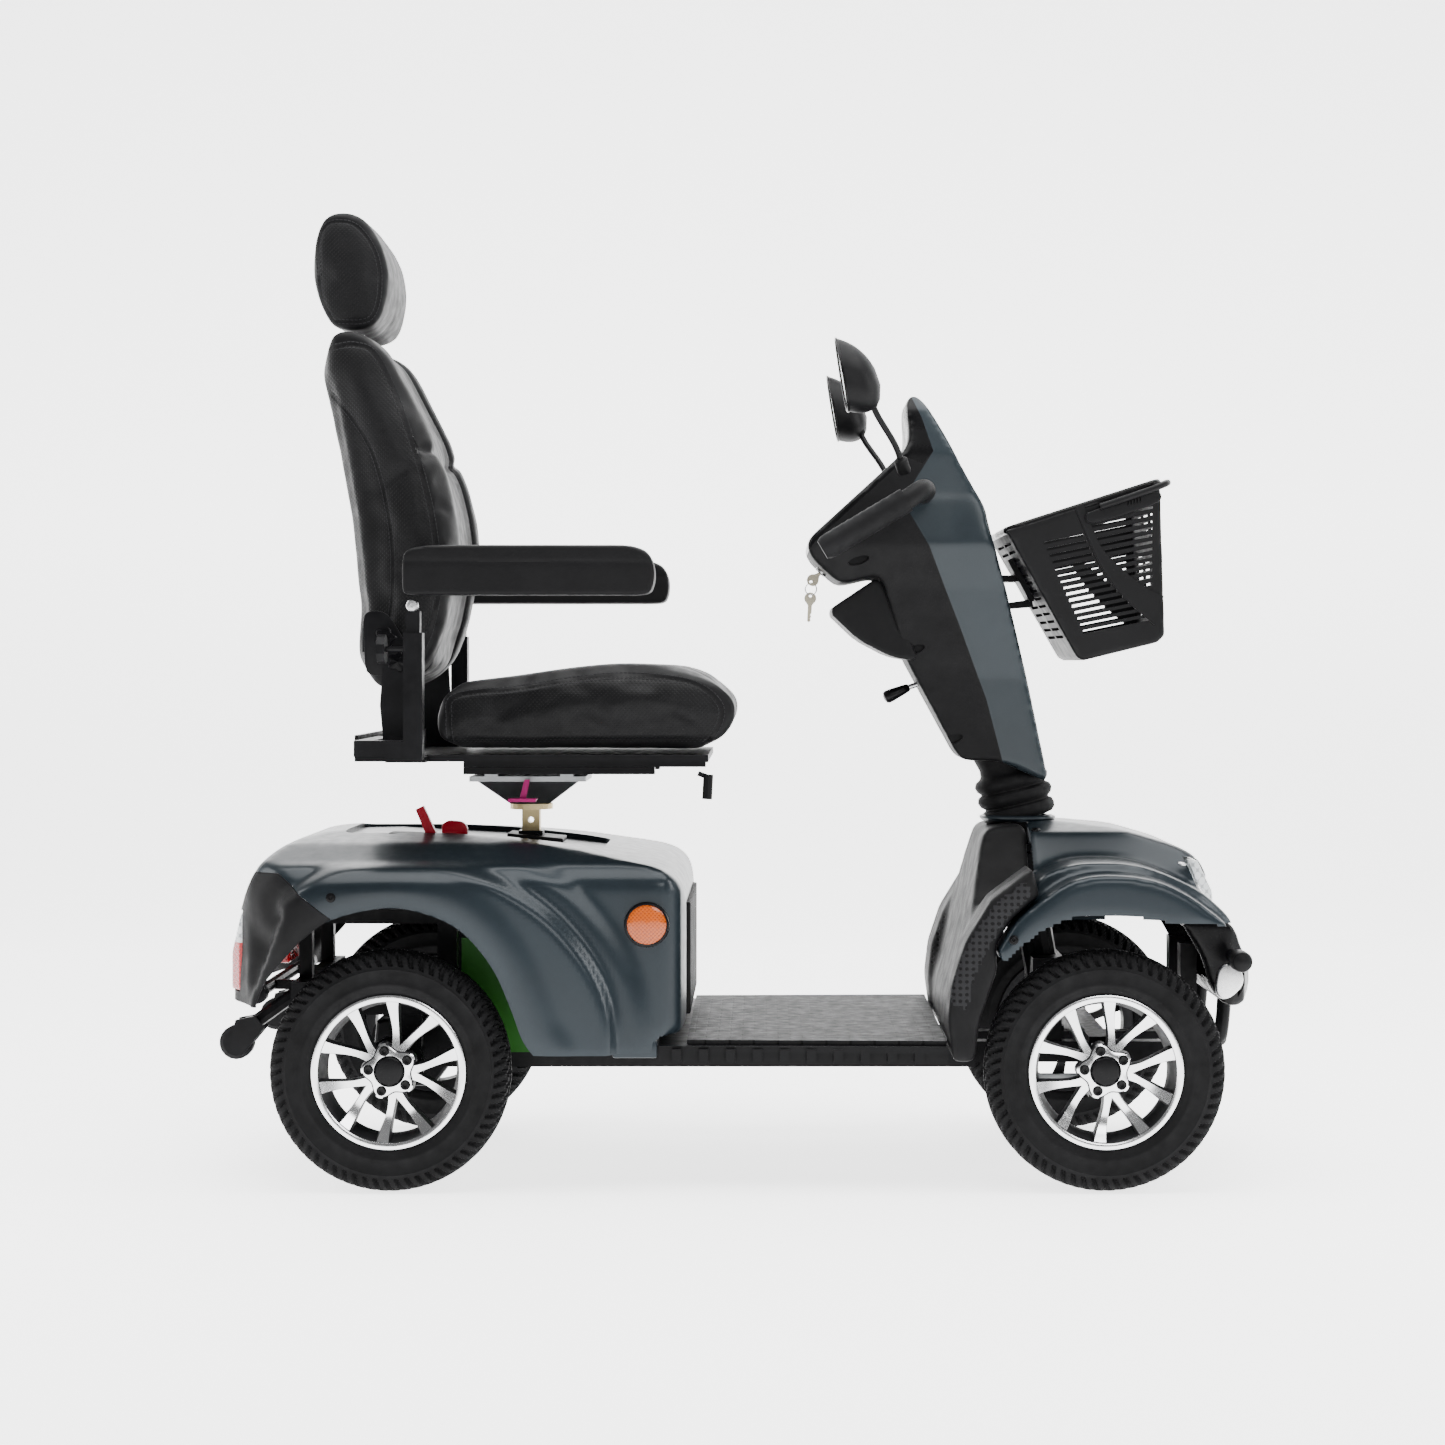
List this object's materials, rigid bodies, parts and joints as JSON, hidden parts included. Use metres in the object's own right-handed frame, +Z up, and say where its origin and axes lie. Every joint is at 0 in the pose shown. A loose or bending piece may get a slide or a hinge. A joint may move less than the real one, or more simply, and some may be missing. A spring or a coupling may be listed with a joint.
{
  "type": "mobility scooter",
  "caption": "Battery mobility scooter: wheeled chassis, moulded body, swivelling captain seat with flip-up armrests, tilting tiller and front basket.",
  "frame": {"origin": "on the ground under the middle of the bounding box", "axes": "+X forwards, +Y to the rider's left, +Z up"},
  "size_m": [1.5936, 0.689, 1.481],
  "materials": {
    "body_paint": "moulded shell, satin slate metallic",
    "tiller_paint": "moulded shell, satin grey metallic",
    "frame_steel": "black powder coat",
    "black_plastic": "grained black moulding",
    "leather": "perforated black imitation leather",
    "tyre_rubber": "black tread rubber",
    "mat_rubber": "black ribbed rubber",
    "rim_alloy": "machined face, black recesses",
    "cast_alloy": "rough casting",
    "zinc_brass": "yellow zinc plating",
    "red_plastic": "moulded red",
    "magenta_plastic": "moulded magenta",
    "battery_green": "moulded green case",
    "amber_lens": "prismatic amber",
    "red_lens": "prismatic red",
    "clear_lens": "clear ribbed lens",
    "key_steel": "nickel silver"
  },
  "bodies": {
    "chassis": {"chassis_frame": "frame_steel", "rear_body_cover": "body_paint", "tail_panel": "black_plastic", "tail_light_right": "red_lens", "tail_light_left": "red_lens", "side_reflector_right": "amber_lens", "side_reflector_left": "amber_lens", "floor_pan": "black_plastic", "floor_mat": "mat_rubber", "leg_shield": "black_plastic", "front_hood": "body_paint", "headlight_right": "clear_lens", "headlight_left": "clear_lens", "front_bumper": "black_plastic", "battery_right": "battery_green", "battery_left": "battery_green", "transaxle": "frame_steel"},
    "rear_wheel_right": {"tyre_rear_right": "tyre_rubber", "rim_rear_right": "rim_alloy"},
    "knuckle_right": {"knuckle_right": "cast_alloy"},
    "front_wheel_right": {"tyre_front_right": "tyre_rubber", "rim_front_right": "rim_alloy"},
    "anti_tip_wheel_right": {"anti_tip_wheel_right": "mat_rubber"},
    "rear_wheel_left": {"tyre_rear_left": "tyre_rubber", "rim_rear_left": "rim_alloy"},
    "knuckle_left": {"knuckle_left": "cast_alloy"},
    "front_wheel_left": {"tyre_front_left": "tyre_rubber", "rim_front_left": "rim_alloy"},
    "anti_tip_wheel_left": {"anti_tip_wheel_left": "mat_rubber"},
    "tie_rod": {"tie_rod": "frame_steel"},
    "steering": {"steering_column": "frame_steel", "bellows_boot": "black_plastic"},
    "tiller": {"tiller_stem": "frame_steel", "tiller_rear_cover": "black_plastic", "tiller_front_cover": "tiller_paint", "dash_panel": "black_plastic", "handlebar": "mat_rubber", "basket_bracket": "frame_steel"},
    "throttle_lever": {"throttle_lever": "black_plastic"},
    "key": {"key": "key_steel"},
    "tilt_lever": {"tilt_lever": "black_plastic"},
    "mirror_right": {"mirror_right": "black_plastic"},
    "mirror_left": {"mirror_left": "black_plastic"},
    "basket": {"basket": "black_plastic"},
    "basket_handle": {"basket_handle": "black_plastic"},
    "freewheel_lever": {"freewheel_lever": "red_plastic"},
    "seat_post": {"seat_post": "zinc_brass"},
    "swivel": {"swivel_bracket": "cast_alloy", "seat_rails": "frame_steel"},
    "swivel_lever": {"swivel_lever": "magenta_plastic"},
    "seat": {"seat_pan": "frame_steel", "seat_cushion": "leather"},
    "slide_handle": {"slide_handle": "black_plastic"},
    "backrest": {"back_frame": "frame_steel", "backrest_cushion": "leather"},
    "headrest": {"headrest": "leather"},
    "armrest_support_right": {"armrest_support_right": "frame_steel"},
    "armrest_right": {"armrest_right": "black_plastic"},
    "armrest_support_left": {"armrest_support_left": "frame_steel"},
    "armrest_left": {"armrest_left": "black_plastic"}
  },
  "joints": [
    {"name": "rear_wheel_spin_right", "type": "hinge", "parent": "chassis", "child": "rear_wheel_right", "pos_m": [-0.5212, -0.28, 0.179], "axis": [0, 1, 0], "continuous": true},
    {"name": "knuckle_steer_right", "type": "hinge", "parent": "chassis", "child": "knuckle_right", "pos_m": [0.5388, -0.235, 0.179], "axis": [0, 0, 1], "range_deg": [-30, 30]},
    {"name": "front_wheel_spin_right", "type": "hinge", "parent": "knuckle_right", "child": "front_wheel_right", "pos_m": [0.5388, -0.28, 0.179], "axis": [0, 1, 0], "continuous": true},
    {"name": "anti_tip_spin_right", "type": "hinge", "parent": "chassis", "child": "anti_tip_wheel_right", "pos_m": [-0.7712, -0.17, 0.205], "axis": [0, 1, 0], "continuous": true},
    {"name": "rear_wheel_spin_left", "type": "hinge", "parent": "chassis", "child": "rear_wheel_left", "pos_m": [-0.5212, 0.28, 0.179], "axis": [0, 1, 0], "continuous": true},
    {"name": "knuckle_steer_left", "type": "hinge", "parent": "chassis", "child": "knuckle_left", "pos_m": [0.5388, 0.235, 0.179], "axis": [0, 0, 1], "range_deg": [-30, 30]},
    {"name": "front_wheel_spin_left", "type": "hinge", "parent": "knuckle_left", "child": "front_wheel_left", "pos_m": [0.5388, 0.28, 0.179], "axis": [0, 1, 0], "continuous": true},
    {"name": "anti_tip_spin_left", "type": "hinge", "parent": "chassis", "child": "anti_tip_wheel_left", "pos_m": [-0.7712, 0.17, 0.205], "axis": [0, 1, 0], "continuous": true},
    {"name": "tie_rod_shift", "type": "slide", "parent": "chassis", "child": "tie_rod", "axis": [0, 1, 0], "range_m": [-0.046, 0.046]},
    {"name": "steer", "type": "hinge", "parent": "chassis", "child": "steering", "pos_m": [0.4318, 0, 0.542], "axis": [-0.1736, 0, 0.9848], "range_deg": [-30, 30]},
    {"name": "tiller_tilt", "type": "hinge", "parent": "steering", "child": "tiller", "pos_m": [0.4318, 0, 0.542], "axis": [0, 1, 0], "range_deg": [0, 22]},
    {"name": "throttle_press", "type": "hinge", "parent": "tiller", "child": "throttle_lever", "pos_m": [0.2308, 0, 1.01], "axis": [0, 1, 0], "range_deg": [-12, 12], "stiffness_Nm_per_rad": 1},
    {"name": "key_turn", "type": "hinge", "parent": "tiller", "child": "key", "pos_m": [0.1308, 0, 0.934], "axis": [0.7071, 0, 0.7071], "range_deg": [0, 70]},
    {"name": "tilt_lever_pull", "type": "hinge", "parent": "tiller", "child": "tilt_lever", "pos_m": [0.3168, 0, 0.762], "axis": [0, 1, 0], "range_deg": [0, 8], "stiffness_Nm_per_rad": 0.5},
    {"name": "mirror_swivel_right", "type": "hinge", "parent": "tiller", "child": "mirror_right", "pos_m": [0.2428, -0.212, 1.082], "axis": [-0.3896, 0, 0.921], "range_deg": [-25, 25]},
    {"name": "mirror_swivel_left", "type": "hinge", "parent": "tiller", "child": "mirror_left", "pos_m": [0.2428, 0.212, 1.082], "axis": [-0.3896, 0, 0.921], "range_deg": [-25, 25]},
    {"name": "basket_lift_off", "type": "slide", "parent": "tiller", "child": "basket", "axis": [0, 0, 1], "range_m": [0, 0.15]},
    {"name": "basket_handle_swing", "type": "hinge", "parent": "basket", "child": "basket_handle", "pos_m": [0.5468, 0, 1.018], "axis": [0, -1, 0], "range_deg": [0, 100]},
    {"name": "freewheel_pull", "type": "hinge", "parent": "chassis", "child": "freewheel_lever", "pos_m": [-0.4732, -0.102, 0.478], "axis": [0, 1, 0], "range_deg": [0, 30]},
    {"name": "seat_height", "type": "slide", "parent": "chassis", "child": "seat_post", "axis": [0, 0, 1], "range_m": [0, 0.05]},
    {"name": "seat_swivel", "type": "hinge", "parent": "seat_post", "child": "swivel", "pos_m": [-0.3362, 0, 0.561], "axis": [0, 0, 1], "continuous": true},
    {"name": "swivel_lever_pull", "type": "hinge", "parent": "swivel", "child": "swivel_lever", "pos_m": [-0.3352, -0.092, 0.602], "axis": [-1, 0, 0], "range_deg": [0, 15], "stiffness_Nm_per_rad": 0.3},
    {"name": "seat_slide", "type": "slide", "parent": "swivel", "child": "seat", "axis": [1, 0, 0], "range_m": [-0.06, 0.04]},
    {"name": "slide_handle_pull", "type": "hinge", "parent": "seat", "child": "slide_handle", "pos_m": [-0.0692, -0.1, 0.612], "axis": [0, -1, 0], "range_deg": [0, 12], "stiffness_Nm_per_rad": 0.2},
    {"name": "backrest_fold", "type": "hinge", "parent": "seat", "child": "backrest", "pos_m": [-0.5162, 0, 0.785], "axis": [0, 1, 0], "range_deg": [-12, 55]},
    {"name": "headrest_height", "type": "slide", "parent": "backrest", "child": "headrest", "axis": [0, 0, 1], "range_m": [0, 0.07]},
    {"name": "armrest_width_right", "type": "slide", "parent": "seat", "child": "armrest_support_right", "axis": [0, -1, 0], "range_m": [0, 0.04]},
    {"name": "armrest_flip_right", "type": "hinge", "parent": "armrest_support_right", "child": "armrest_right", "pos_m": [-0.4842, -0.3095, 0.852], "axis": [0, -1, 0], "range_deg": [0, 90]},
    {"name": "armrest_width_left", "type": "slide", "parent": "seat", "child": "armrest_support_left", "axis": [0, 1, 0], "range_m": [0, 0.04]},
    {"name": "armrest_flip_left", "type": "hinge", "parent": "armrest_support_left", "child": "armrest_left", "pos_m": [-0.4842, 0.3095, 0.852], "axis": [0, -1, 0], "range_deg": [0, 90]}
  ],
  "couplings": [
    {"joint": "knuckle_steer_right", "follows": "steer", "ratio": 1},
    {"joint": "knuckle_steer_left", "follows": "steer", "ratio": 1},
    {"joint": "tie_rod_shift", "follows": "steer", "m_per_rad": -0.0859}
  ]
}
